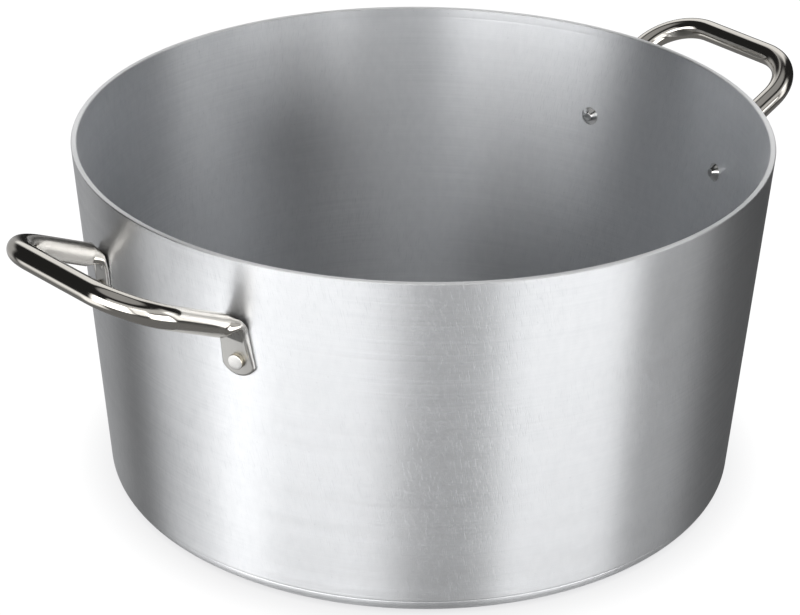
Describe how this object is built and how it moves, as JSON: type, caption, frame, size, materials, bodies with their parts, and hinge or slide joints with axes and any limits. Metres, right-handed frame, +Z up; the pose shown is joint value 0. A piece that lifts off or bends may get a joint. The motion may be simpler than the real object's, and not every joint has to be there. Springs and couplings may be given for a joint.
{
  "type": "brew kettle",
  "caption": "Deep open cooking and brewing pot: a slightly tapered spun shell with a flat base and bare rim, and a riveted U-shaped tube handle on each side.",
  "frame": {"origin": "middle of the flat resting face, on the pot's axis", "axes": "+Z up along the pot's axis, handles along +X and -X, -Y is the front"},
  "size_m": [0.483, 0.366, 0.19],
  "materials": {
    "body": "satin, brushed round the axis, fine turned lines",
    "handle": "polished stainless tube",
    "rivet": "bright, pressed heads"
  },
  "bodies": {
    "root": {"kettle_body": "body", "handle_left": "handle", "handle_right": "handle", "rivet_left_front": "rivet", "rivet_left_rear": "rivet", "rivet_right_front": "rivet", "rivet_right_rear": "rivet"}
  },
  "joints": []
}
